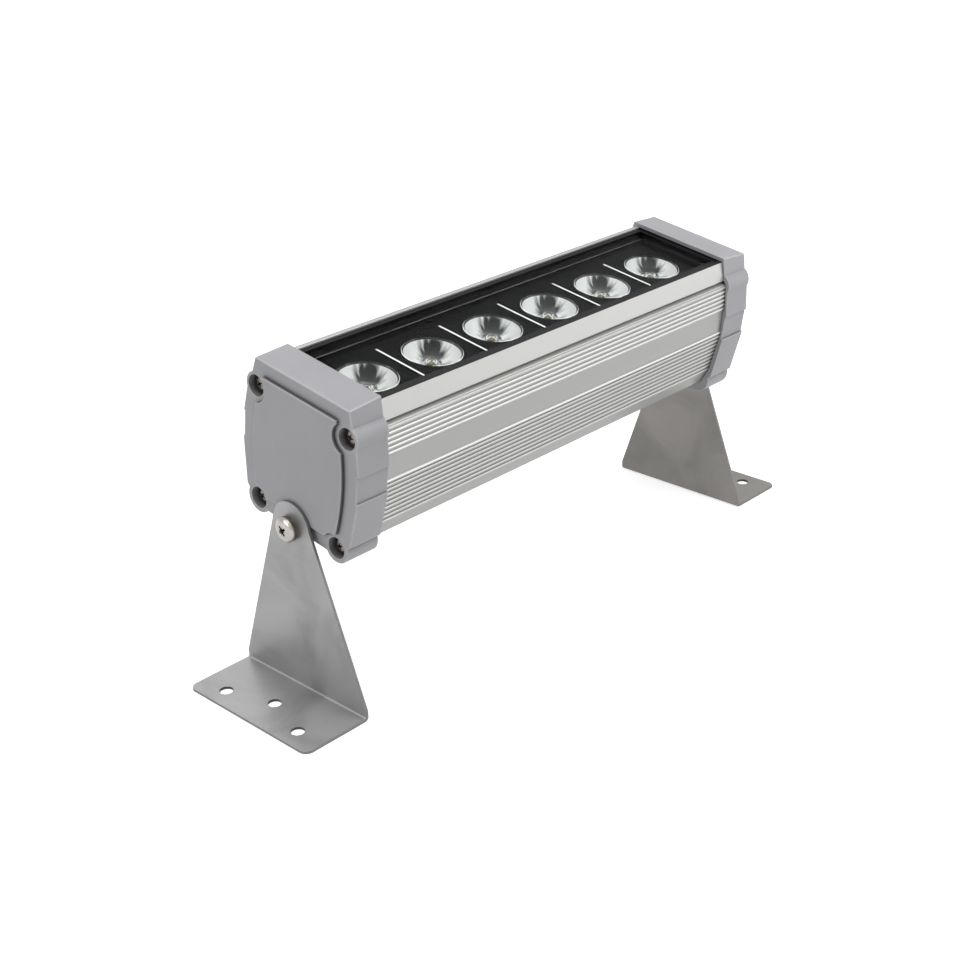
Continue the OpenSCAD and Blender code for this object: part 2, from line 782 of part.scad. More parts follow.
// Lead from the terminal block up through the shelf and over onto the board
lead_bend_r = 3;
module lead(y) {
    run_z = driver_top_z + terminal_h / 2;
    start_x = terminal_x - terminal_l / 2 - fit_gap;
    over_z = board_top_z + lead_r + fit_gap;
    end_x = -board_l / 2 + 2 * lead_bend_r;
    translate([0, y, 0]) {
        bar(lead_x + lead_bend_r, start_x, lead_r, z = run_z);
        translate([lead_x + lead_bend_r, 0, run_z + lead_bend_r]) rotate([90, 0, 0])
            rotate([0, 0, 180]) rotate_extrude(angle = 90) translate([lead_bend_r, 0])
                circle(r = lead_r);
        translate([lead_x, 0, run_z + lead_bend_r])
            cylinder(h = over_z - run_z - 2 * lead_bend_r, r = lead_r);
        translate([lead_x + lead_bend_r, 0, over_z - lead_bend_r]) rotate([90, 0, 0])
            rotate([0, 0, 90]) rotate_extrude(angle = 90) translate([lead_bend_r, 0])
                circle(r = lead_r);
        bar(lead_x + lead_bend_r, end_x, lead_r, z = over_z);
    }
}
module lead_positive() {
    color("#b02a2a") on_head() lead(lead_y);
}
module lead_negative() {
    color("#222222") on_head() lead(lead_y + lead_pitch);
}

// Cable gland in the right-hand end wall
gland_flats = 16;
gland_flange_t = 5;
gland_thread_l = 8;
gland_inner_l = 5;
gland_nut_t = 3;
gland_seal_l = 6;
gland_seal_r = 4.9;
gland_lip_t = 1.5;
gland_seat_x = panel_x + fit_gap;
gland_thread_x = gland_seat_x + gland_flange_t;
gland_end_x = gland_thread_x + gland_thread_l;
module gland_body() {
    color("#8f9092") on_head() difference() {
        union() {
            bar(end_wall_x - gland_inner_l, gland_seat_x, gland_r, z = gland_z);
            hexagon_bar(gland_seat_x, gland_thread_x, gland_flats, z = gland_z);
            bar(gland_thread_x, gland_end_x, gland_r, z = gland_z);
        }
        bar(end_wall_x - gland_inner_l - overrun, gland_end_x + overrun, cable_r, z = gland_z);
        bar(gland_end_x - gland_seal_l, gland_end_x + overrun, gland_seal_r + fit_gap,
            z = gland_z);
    }
}
module gland_nut() {
    color("#8f9092") on_head() difference() {
        hexagon_bar(end_wall_x - gland_nut_t - fit_gap, end_wall_x - fit_gap, gland_flats,
                    z = gland_z);
        bar(end_wall_x - gland_inner_l, end_wall_x + overrun, gland_r + fit_gap,
            z = gland_z);
    }
}
module gland_seal() {
    color(black_rubber) on_head() difference() {
        bar(gland_end_x - gland_seal_l + fit_gap, gland_end_x, gland_seal_r, z = gland_z);
        bar(gland_thread_x, gland_end_x + overrun, cable_r, z = gland_z);
    }
}
module gland_cap() {
    color("#8f9092") on_head() difference() {
        hexagon_bar(gland_thread_x + fit_gap, gland_end_x + fit_gap + gland_lip_t,
                    gland_flats, z = gland_z);
        bar(gland_thread_x, gland_end_x + fit_gap, gland_r + fit_gap, z = gland_z);
        bar(gland_thread_x, gland_end_x + overrun + gland_lip_t, cable_r, z = gland_z);
    }
}

// Pivot: threaded insert in the cap, flanged bush, arm, spring washer and screw
module pivot_insert() {
    difference() {
        bar(cap_face_x - insert_l, cap_face_x, insert_r);
        bar(cap_face_x - insert_l - overrun, cap_face_x + overrun, pivot_r + turning_gap);
    }
}
module pivot_bush() {
    difference() {
        union() {
            bar(cap_face_x, cap_face_x + flange_t, flange_r);
            bar(cap_face_x, arm_outer_x - fit_gap, sleeve_r);
        }
        bar(cap_face_x - overrun, arm_outer_x + overrun, pivot_r + fit_gap);
    }
}
washer_slot_w = 1.2;
module pivot_washer() {
    difference() {
        bar(washer_x, head_x, washer_r);
        bar(washer_x - overrun, head_x + overrun, pivot_r + fit_gap);
        translate([washer_x - overrun, pivot_r / 2, -washer_slot_w / 2])
            cube([washer_t + 2 * overrun, washer_r, washer_slot_w]);
    }
}
module pivot_screw() {
    pan_screw(head_x, pivot_screw_l, pivot_r, pivot_head_r, pivot_head_h);
}
module pivot_insert_left() {
    color(brass_tone) on_head() left() pivot_insert();
}
module pivot_insert_right() {
    color(brass_tone) on_head() pivot_insert();
}
module pivot_bush_left() {
    color(black_plastic) on_head() left() pivot_bush();
}
module pivot_bush_right() {
    color(black_plastic) on_head() pivot_bush();
}
module pivot_washer_left() {
    color(stainless) on_head() left() pivot_washer();
}
module pivot_washer_right() {
    color(stainless) on_head() pivot_washer();
}
module pivot_screw_left() {
    color(stainless) on_head() left() pivot_screw();
}
module pivot_screw_right() {
    color(stainless) on_head() pivot_screw();
}

// Bracket: a tapered arm bent into a foot with three fixing holes
bend_outer_r = bend_r + sheet_t;
// Point where the sloping side, drawn from a corner, ends just inside the arm's round tip
tip_entry_share = 0.97;
function tangent_point(corner, r) =
    let (d = norm(corner), toward = atan2(corner.y, corner.x), open = acos(r / d))
    [r * cos(toward + open), r * sin(toward + open)];
module arm_outline() {
    hw = bracket_w / 2;
    low_z = bend_outer_r - pivot_h;
    corner = [hw, sheet_t + arm_straight_h - pivot_h];
    touch = tangent_point(corner, arm_tip_r * tip_entry_share);
    both_halves([touch, corner, [hw, low_z]]);
    circle(r = arm_tip_r);
}
module foot_outline() {
    x0 = arm_inner_x + bend_outer_r;
    x1 = arm_outer_x + foot_reach;
    translate([x0, -bracket_w / 2]) square([x1 - foot_corner_r - x0, bracket_w]);
    translate([x0, foot_corner_r - bracket_w / 2])
        square([x1 - x0, bracket_w - 2 * foot_corner_r]);
    for (side = [-1, 1])
        translate([x1 - foot_corner_r, side * (bracket_w / 2 - foot_corner_r)])
            circle(r = foot_corner_r);
}
module bracket() {
    difference() {
        union() {
            translate([0, 0, pivot_h]) slab(arm_inner_x, arm_outer_x) arm_outline();
            linear_extrude(sheet_t) foot_outline();
            translate([arm_inner_x + bend_outer_r, 0, bend_outer_r]) rotate([90, 0, 0])
                linear_extrude(bracket_w, center = true) intersection() {
                    difference() {
                        circle(r = bend_outer_r);
                        circle(r = bend_r);
                    }
                    translate([-bend_outer_r, -bend_outer_r])
                        square([bend_outer_r, bend_outer_r]);
                }
        }
        translate([0, 0, pivot_h])
            bar(arm_inner_x - overrun, arm_outer_x + overrun, sleeve_r + running_gap);
        for (side = [-1, 1]) fixing_hole(fixing_reach, side * fixing_w / 2);
        fixing_hole(middle_reach, 0);
    }
}
module fixing_hole(reach, y) {
    translate([arm_outer_x + reach, y, -overrun])
        cylinder(h = sheet_t + 2 * overrun, r = fixing_hole_r);
}
module bracket_left() {
    color(stainless) left() bracket();
}
module bracket_right() {
    color(stainless) bracket();
}

bracket_left();
bracket_right();
housing();
end_cap_left();
end_cap_right();
cap_gasket_left();
cap_gasket_right();
cap_screws_left();
cap_screws_right();
window_glass();
glass_seal();
optic_tray();
for (i = [0 : lens_n - 1]) {
    lens(i);
    lens_holder(i);
    led(i);
}
led_board();
thermal_pad();
board_screws();
driver_tray();
driver_board();
driver_transformer();
driver_capacitors();
driver_chips();
terminal_block();
lead_positive();
lead_negative();
gland_body();
gland_nut();
gland_seal();
gland_cap();
pivot_insert_left();
pivot_insert_right();
pivot_bush_left();
pivot_bush_right();
pivot_washer_left();
pivot_washer_right();
pivot_screw_left();
pivot_screw_right();
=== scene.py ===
import math
import bmesh
import bpy
from mathutils import Matrix, Vector


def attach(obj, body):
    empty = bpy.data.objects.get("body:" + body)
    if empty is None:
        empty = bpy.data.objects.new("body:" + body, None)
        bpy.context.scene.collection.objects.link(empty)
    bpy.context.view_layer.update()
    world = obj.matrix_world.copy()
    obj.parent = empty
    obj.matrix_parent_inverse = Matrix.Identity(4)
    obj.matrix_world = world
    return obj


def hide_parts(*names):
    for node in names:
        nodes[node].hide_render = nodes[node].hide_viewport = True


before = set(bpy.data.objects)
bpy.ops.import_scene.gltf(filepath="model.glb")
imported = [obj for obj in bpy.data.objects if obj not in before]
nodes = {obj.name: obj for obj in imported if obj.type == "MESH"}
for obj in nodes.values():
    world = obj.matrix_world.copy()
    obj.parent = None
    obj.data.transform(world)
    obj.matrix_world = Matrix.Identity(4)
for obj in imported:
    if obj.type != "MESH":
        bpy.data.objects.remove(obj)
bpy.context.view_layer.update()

# Lengths are written in millimetres, and MM turns them to metres
MM = 0.001

# The head of the light is drawn upright about its pivot, and HEAD tilts it to the front
PIVOT_H = 90.5
HEAD_TILT = math.radians(9.5)
HEAD = Matrix.Translation((0, 0, PIVOT_H * MM)) @ Matrix.Rotation(HEAD_TILT, 4, "X")
UPRIGHT = HEAD.inverted()


# Camera, light and floor

CAMERA_PLACE = (-0.56827, -0.53687, 0.42353)
CAMERA_TURN = (65.0874, 1.9810, -46.3085)
CAMERA_LENS, CAMERA_SENSOR = 58.9834, 36


def add_camera():
    """The camera at the photograph's angle, solved from the caps' and feet's corners."""
    camera = bpy.data.objects.new("camera", bpy.data.cameras.new("camera"))
    bpy.context.scene.collection.objects.link(camera)
    camera.location = CAMERA_PLACE
    camera.rotation_euler = [math.radians(turn) for turn in CAMERA_TURN]
    camera.data.sensor_width = CAMERA_SENSOR
    camera.data.lens = CAMERA_LENS
    camera.data.clip_start = 0.01
    bpy.context.scene.camera = camera
    bpy.context.scene.view_settings.view_transform = "Standard"


def linear(hex_colour):
    """An sRGB hex colour as the linear RGBA that a shader reads."""
    parts = [int(hex_colour[i:i + 2], 16) / 255 for i in (1, 3, 5)]
    return tuple(c / 12.92 if c <= 0.04045 else ((c + 0.055) / 1.055) ** 2.4
                 for c in parts) + (1.0,)


def add(tree, kind, inputs=None, **settings):
    """Adds a node with its settings. Its inputs are values or other nodes' sockets."""
    made = tree.nodes.new(kind)
    for name, value in settings.items():
        setattr(made, name, value)
    for name, value in (inputs or {}).items():
        if isinstance(value, bpy.types.NodeSocket):
            tree.links.new(value, made.inputs[name])
        else:
            made.inputs[name].default_value = value
    return made


# Softboxes: name, place, the point it faces, width and height in metres, power in watts
SOFTBOXES = [
    ("overhead_box", (-0.1, -0.15, 1.3), (0, 0, 0.1), 1.1, 0.8, 7.8),
    ("high_front_box", (0.15, -0.85, 1.35), (0, 0, 0.1), 0.8, 0.5, 3.6),
    ("front_box", (0.5, -1.2, 1.0), (0, 0, 0.1), 0.9, 0.7, 5.8),
    ("end_box", (-1.3, 0.35, 0.6), (0, 0, 0.1), 0.8, 0.8, 5.1),
    ("low_front_box", (1.0, -1.1, 0.14), (0, 0, 0.1), 1.0, 0.25, 2.3),
    ("back_box", (0.3, 1.2, 0.9), (0, 0, 0.1), 0.9, 0.6, 3.0),
]
# How strong the world is as a light on the object, and where it is seen or mirrored
WORLD_FILL, WORLD_SEEN = 0.05, 1.0


def add_seen_directly(tree):
    """1 where the camera looks, straight or by way of metal or glass."""
    path = add(tree, "ShaderNodeLightPath")
    mirrored = add(tree, "ShaderNodeMath", {0: path.outputs["Is Camera Ray"],
                                            1: path.outputs["Is Glossy Ray"]},
                   operation="MAXIMUM")
    through = add(tree, "ShaderNodeMath", {0: mirrored.outputs[0],
                                           1: path.outputs["Is Transmission Ray"]},
                  operation="MAXIMUM")
    return through.outputs[0]


def add_lights():
    """Plain soft studio light, over a world that shows white."""
    for name, place, aim, width, height, power in SOFTBOXES:
        lamp = bpy.data.lights.new(name, "AREA")
        lamp.shape = "RECTANGLE"
        lamp.size, lamp.size_y, lamp.energy = width, height, power
        box = bpy.data.objects.new(name, lamp)
        bpy.context.scene.collection.objects.link(box)
        box.location = place
        box.rotation_euler = (Vector(aim) - Vector(place)).to_track_quat("-Z", "Y").to_euler()
    world = bpy.data.worlds.new("studio")
    bpy.context.scene.world = world
    world.use_nodes = True
    tree = world.node_tree
    strength = add(tree, "ShaderNodeMapRange", {"Value": add_seen_directly(tree),
                                                "To Min": WORLD_FILL, "To Max": WORLD_SEEN})
    background = tree.nodes["Background"]
    background.inputs["Color"].default_value = (1, 1, 1, 1)
    tree.links.new(strength.outputs["Result"], background.inputs["Strength"])


# How white the floor shows by itself: less about the object, so that its shadow stays, and
# more from the first distance in metres to the second
FLOOR_LIFT_NEAR, FLOOR_LIFT_FAR = 0.66, 1.0
FLOOR_NEAR, FLOOR_FAR = 0.3, 0.9
FLOOR_SIZE = 12


def add_floor():
    """A plain pale floor that shows white where nothing shades it."""
    bpy.ops.object.select_all(action="DESELECT")
    bpy.ops.mesh.primitive_plane_add(size=FLOOR_SIZE, location=(0, 0, 0))
    floor = bpy.context.object
    floor.name = "floor"
    material = bpy.data.materials.new("pale_studio_paper")
    material.use_nodes = True
    tree = material.node_tree
    tree.nodes.remove(tree.nodes["Principled BSDF"])
    paper = add(tree, "ShaderNodeBsdfDiffuse", {"Color": linear("#e9e9e9")})
    place = add(tree, "ShaderNodeTexCoord").outputs["Object"]
    away = add(tree, "ShaderNodeVectorMath", {0: place}, operation="LENGTH")
    white = add(tree, "ShaderNodeMapRange", {"Value": away.outputs["Value"],
                                             "From Min": FLOOR_NEAR,
                                             "From Max": FLOOR_FAR,
                                             "To Min": FLOOR_LIFT_NEAR,
                                             "To Max": FLOOR_LIFT_FAR})
    lift = add(tree, "ShaderNodeMath", {0: add_seen_directly(tree),
                                        1: white.outputs["Result"]}, operation="MULTIPLY")
    glow = add(tree, "ShaderNodeEmission", {"Strength": lift.outputs[0]})
    both = add(tree, "ShaderNodeAddShader", {0: paper.outputs[0], 1: glow.outputs[0]})
    tree.links.new(both.outputs[0], tree.nodes["Material Output"].inputs["Surface"])
    floor.data.materials.append(material)


add_camera()
add_lights()
add_floor()


# Finishes

def start_finish(name, colour, roughness, metallic=0.0, **sockets):
    """A material of that name, with its tree and shader, and its Object coordinates. More
    of the shader's sockets are given with underscores for the spaces in their names."""
    material = bpy.data.materials.new(name)
    material.use_nodes = True
    tree = material.node_tree
    shader = tree.nodes["Principled BSDF"]
    shader.inputs["Base Color"].default_value = linear(colour)
    shader.inputs["Roughness"].default_value = roughness
    shader.inputs["Metallic"].default_value = metallic
    for socket, value in sockets.items():
        shader.inputs[socket.replace("_", " ")].default_value = value
    place = add(tree, "ShaderNodeTexCoord").outputs["Object"]
    return material, tree, shader, place


def per_mm(size):
    """The scale at which a pattern repeats each so many millimetres."""
    return 1 / (size * MM)


def painted_corner_shade(tree, colour, dark, reach, low=0.3, high=0.85):
    """A colour with painted shade: darker where the surface is closed in within so many
    millimetres, as in a bore or at the foot of a step."""
    free = add(tree, "ShaderNodeAmbientOcclusion", {"Distance": reach * MM},
               samples=8, only_local=True)
    share = add(tree, "ShaderNodeMapRange", {"Value": free.outputs["AO"], "From Min": low,
                                             "From Max": high})
    mixed = add(tree, "ShaderNodeMix", {"Factor": share.outputs["Result"],
                                        6: linear(dark), 7: colour}, data_type="RGBA")
    return mixed.outputs[2]


def powder_coated_casting(name, base, dark, light):
    # Die-cast aluminium under matte grey powder coat: an even mid grey with a fine
    # orange-peel skin and a faint metallic fleck
    material, tree, shader, place = start_finish(name, base, 0.42)
    fleck = add(tree, "ShaderNodeTexNoise", {"Vector": place, "Scale": per_mm(0.45),
                                             "Detail": 3.0})
    cloud = add(tree, "ShaderNodeTexNoise", {"Vector": place, "Scale": per_mm(26),
                                             "Detail": 2.0})
    both = add(tree, "ShaderNodeMath", {0: fleck.outputs["Fac"], 1: cloud.outputs["Fac"]},
               operation="ADD")
    tone = add(tree, "ShaderNodeMapRange", {"Value": both.outputs[0], "From Min": 0.7,
                                            "From Max": 1.3})
    colour = add(tree, "ShaderNodeMix", {"Factor": tone.outputs["Result"],
                                         6: linear(dark), 7: linear(light)},
                 data_type="RGBA")
    # Painted shade: the colour darkens to brown-black in the bores and at the foot of each
    # step
    closed = painted_corner_shade(tree, colour.outputs[2], "#2c2826", 4.0, 0.42, 0.95)
    tree.links.new(closed, shader.inputs["Base Color"])
    rough = add(tree, "ShaderNodeMapRange", {"Value": fleck.outputs["Fac"], "To Min": 0.36,
                                             "To Max": 0.5})
    tree.links.new(rough.outputs["Result"], shader.inputs["Roughness"])
    peel = add(tree, "ShaderNodeTexNoise", {"Vector": place, "Scale": per_mm(0.9),
                                            "Detail": 2.0})
    bump = add(tree, "ShaderNodeBump", {"Height": peel.outputs["Fac"], "Strength": 0.35,
                                        "Distance": 0.012 * MM})
    tree.links.new(bump.outputs["Normal"], shader.inputs["Normal"])
    return material


def anodised_extrusion(name, base, dark, light):
    # Extruded aluminium, etched and clear anodised: a pale satin silver with fine die
    # lines that run the length of the profile
    material, tree, shader, place = start_finish(name, base, 0.4, 0.45)
    along = add(tree, "ShaderNodeMapping", {"Vector": place, "Scale": (0.004, 1, 1)})
    lines = add(tree, "ShaderNodeTexNoise", {"Vector": along.outputs["Vector"],
                                             "Scale": per_mm(0.5), "Detail": 4.0})
    colour = add(tree, "ShaderNodeMix", {"Factor": lines.outputs["Fac"],
                                         6: linear(dark), 7: linear(light)},
                 data_type="RGBA")
    # Painted shade: the colour darkens in the valleys between the ribs and in other tight
    # corners
    closed = painted_corner_shade(tree, colour.outputs[2], "#5c5b58", 1.2, 0.3, 1.0)
    tree.links.new(closed, shader.inputs["Base Color"])
    etch = add(tree, "ShaderNodeTexNoise", {"Vector": place, "Scale": per_mm(0.35),
                                            "Detail": 2.0})
    rough = add(tree, "ShaderNodeMapRange", {"Value": etch.outputs["Fac"], "To Min": 0.34,
                                             "To Max": 0.46})
    tree.links.new(rough.outputs["Result"], shader.inputs["Roughness"])
    bump = add(tree, "ShaderNodeBump", {"Height": lines.outputs["Fac"], "Strength": 0.12,
                                        "Distance": 0.005 * MM})
    tree.links.new(bump.outputs["Normal"], shader.inputs["Normal"])
    return material


def stainless_sheet(name, dark, light):
    # Cold-rolled stainless sheet with its mill finish: a satin grey with soft cloudy
    # patches, a faint rolling grain and fine speckle
    material, tree, shader, place = start_finish(name, dark, 0.44, 0.5)
    cloud = add(tree, "ShaderNodeTexNoise", {"Vector": place, "Scale": per_mm(34),
                                             "Detail": 3.0, "Distortion": 0.6})
    along = add(tree, "ShaderNodeMapping", {"Vector": place, "Scale": (1, 0.02, 1)})
    grain = add(tree, "ShaderNodeTexNoise", {"Vector": along.outputs["Vector"],
                                             "Scale": per_mm(0.4), "Detail": 3.0})
    patch = add(tree, "ShaderNodeMapRange", {"Value": cloud.outputs["Fac"],
                                             "From Min": 0.32, "From Max": 0.68})
    both = add(tree, "ShaderNodeMath", {0: grain.outputs["Fac"], 1: 0.3,
                                        2: patch.outputs["Result"]},
               operation="MULTIPLY_ADD")
    colour = add(tree, "ShaderNodeMix", {"Factor": both.outputs[0],
                                         6: linear(dark), 7: linear(light)},
                 data_type="RGBA")
    tree.links.new(colour.outputs[2], shader.inputs["Base Color"])
    rough = add(tree, "ShaderNodeMapRange", {"Value": cloud.outputs["Fac"], "To Min": 0.36,
                                             "To Max": 0.54})
    tree.links.new(rough.outputs["Result"], shader.inputs["Roughness"])
    bump = add(tree, "ShaderNodeBump", {"Height": grain.outputs["Fac"], "Strength": 0.25,
                                        "Distance": 0.008 * MM})
    tree.links.new(bump.outputs["Normal"], shader.inputs["Normal"])
    return material


def stainless_fastener(name, dark, light, reach):
    # Cold-headed stainless screw, tumbled bright: smooth, with faint forming marks
    material, tree, shader, place = start_finish(name, light, 0.24, 1.0)
    marks = add(tree, "ShaderNodeTexNoise", {"Vector": place, "Scale": per_mm(1.4),
                                             "Detail": 4.0})
    rough = add(tree, "ShaderNodeMapRange", {"Value": marks.outputs["Fac"], "To Min": 0.14,
                                             "To Max": 0.32})
    tree.links.new(rough.outputs["Result"], shader.inputs["Roughness"])
    colour = add(tree, "ShaderNodeMix", {"Factor": marks.outputs["Fac"],
                                         6: linear(dark), 7: linear(light)},
                 data_type="RGBA")
    # Painted shade: the colour darkens to brown-black in the cross recess and where the head
    # is closed in
    closed = painted_corner_shade(tree, colour.outputs[2], "#1c1613", reach, 0.35, 0.9)
    tree.links.new(closed, shader.inputs["Base Color"])
    return material


def moulded(name, dark, light, roughness, grain, depth=0.01, detail=3.0, **sockets):
    """A moulded or cast surface of two close tones, with a fine grain of that size."""
    material, tree, shader, place = start_finish(name, dark, roughness, **sockets)
    texture = add(tree, "ShaderNodeTexNoise", {"Vector": place, "Scale": per_mm(grain),
                                               "Detail": detail})
    colour = add(tree, "ShaderNodeMix", {"Factor": texture.outputs["Fac"],
                                         6: linear(dark), 7: linear(light)},
                 data_type="RGBA")
    tree.links.new(colour.outputs[2], shader.inputs["Base Color"])
    rough = add(tree, "ShaderNodeMapRange", {"Value": texture.outputs["Fac"],
                                             "To Min": roughness - 0.06,
                                             "To Max": roughness + 0.06})
    tree.links.new(rough.outputs["Result"], shader.inputs["Roughness"])
    bump = add(tree, "ShaderNodeBump", {"Height": texture.outputs["Fac"], "Strength": 0.4,
                                        "Distance": depth * MM})
    tree.links.new(bump.outputs["Normal"], shader.inputs["Normal"])
    return material


def polished_glass():
    # Toughened float glass with an anti-reflection coating, which mirrors as little as
    # the low index says: clear with a very slight green, and a film of dust
    material, tree, shader, place = start_finish(
        "coated_toughened_glass", "#f8faf9", 0.0, Transmission_Weight=1.0, IOR=1.05)
    film = add(tree, "ShaderNodeTexNoise", {"Vector": place, "Scale": per_mm(14),
                                            "Detail": 1.0})
    rough = add(tree, "ShaderNodeMapRange", {"Value": film.outputs["Fac"], "From Min": 0.5,
                                             "From Max": 1.0, "To Min": 0.0,
                                             "To Max": 0.004})
    tree.links.new(rough.outputs["Result"], shader.inputs["Roughness"])
    return material


def clear_acrylic():
    # Injection-moulded acrylic lens: water clear, with faint flow ripple, its index low
    # enough to keep the haze of the white studio off its face
    material, tree, shader, place = start_finish(
        "clear_acrylic", "#ffffff", 0.02, Transmission_Weight=1.0, IOR=1.2)
    ripple = add(tree, "ShaderNodeTexNoise", {"Vector": place, "Scale": per_mm(3.2),
                                              "Detail": 1.0})
    bump = add(tree, "ShaderNodeBump", {"Height": ripple.outputs["Fac"], "Strength": 0.25,
                                        "Distance": 0.06 * MM})
    tree.links.new(bump.outputs["Normal"], shader.inputs["Normal"])
    return material


# The mark that a lens's points carry: their direction from its axis, and their height as z,
# from 0 at the neck to 1 at the face
AROUND = "around"
# The line across a lens towards whose two ends its flank's painted reflection is bright
REFLECTION_LINE = (0.69, -0.72, 0)


def painted_reflection_flank():
    # The flank of a lens, with the light that total reflection sends back painted on as a
    #     reflection: bright high up on two sides, in streaks that fan out from the lens's
    #         axis,
    #     and dark elsewhere
    material, tree, shader, _ = start_finish("lens_flank_painted_reflection", "#f2f4f6", 0.3)
    turn = add(tree, "ShaderNodeAttribute", attribute_name=AROUND).outputs["Vector"]
    # Flattened in height, the noise makes streaks that run up the cone
    flat = add(tree, "ShaderNodeVectorMath", {0: turn, 1: (1, 1, 0.12)},
               operation="MULTIPLY")
    streaks = add(tree, "ShaderNodeTexNoise", {"Vector": flat.outputs[0], "Scale": 6.0,
                                               "Detail": 2.0})
    across = add(tree, "ShaderNodeVectorMath", {0: turn, 1: REFLECTION_LINE},
                 operation="DOT_PRODUCT")
    side = add(tree, "ShaderNodeMath", {0: across.outputs["Value"]}, operation="ABSOLUTE")
    up = add(tree, "ShaderNodeSeparateXYZ", {"Vector": turn})
    # How near the bright line a point is, how high up it is and the streaks add up, and the
    # surface turns from dark to bright over a short stretch of their sum
    high = add(tree, "ShaderNodeMath", {0: up.outputs["Z"], 1: 0.7, 2: side.outputs[0]},
               operation="MULTIPLY_ADD")
    white = add(tree, "ShaderNodeMath", {0: streaks.outputs["Fac"], 1: 1.1,
                                         2: high.outputs[0]}, operation="MULTIPLY_ADD")
    share = add(tree, "ShaderNodeMapRange", {"Value": white.outputs[0],
                                             "From Min": 1.25, "From Max": 1.62})
    # Painted reflection: near black where the flank is dark, white where it shines
    colour = add(tree, "ShaderNodeMix", {"Factor": share.outputs["Result"],
                                         6: linear("#141518"), 7: linear("#ffffff")},
                 data_type="RGBA")
    tree.links.new(colour.outputs[2], shader.inputs["Base Color"])
    return material


def circuit_board(name, mask, track, gap):
    """Solder mask over copper tracks: two tones in fine lines, under a soft gloss."""
    material, tree, shader, place = start_finish(name, mask, 0.35)
    lines = add(tree, "ShaderNodeTexBrick", {"Vector": place, "Scale": per_mm(gap) / 4,
                                             "Mortar Size": 0.06, "Brick Width": 0.7,
                                             "Color1": linear(mask), "Color2": linear(mask),
                                             "Mortar": linear(track)})
    tree.links.new(lines.outputs["Color"], shader.inputs["Base Color"])
    bump = add(tree, "ShaderNodeBump", {"Height": lines.outputs["Fac"], "Strength": 0.3,
                                        "Distance": 0.03 * MM})
    tree.links.new(bump.outputs["Normal"], shader.inputs["Normal"])
    return material


def enamelled_winding():
    # Enamelled copper wire wound in turns about the transformer's leg: glossy red-brown
    # bands, drawn several times as wide as the wire so that they show
    material, tree, shader, place = start_finish("enamelled_copper_winding", "#a4592c",
                                                 0.3, 0.6)
    upright = add(tree, "ShaderNodeMapping", {"Vector": place,
                                              "Rotation": (-HEAD_TILT, 0, 0)})
    turns = add(tree, "ShaderNodeTexWave", {"Vector": upright.outputs["Vector"],
                                            "Scale": per_mm(0.9) / 20},
                bands_direction="Z")
    colour = add(tree, "ShaderNodeMix", {"Factor": turns.outputs["Fac"],
                                         6: linear("#6d3517"), 7: linear("#c4733a")},
                 data_type="RGBA")
    tree.links.new(colour.outputs[2], shader.inputs["Base Color"])
    bump = add(tree, "ShaderNodeBump", {"Height": turns.outputs["Fac"], "Strength": 0.8,
                                        "Distance": 0.2 * MM})
    tree.links.new(bump.outputs["Normal"], shader.inputs["Normal"])
    return material


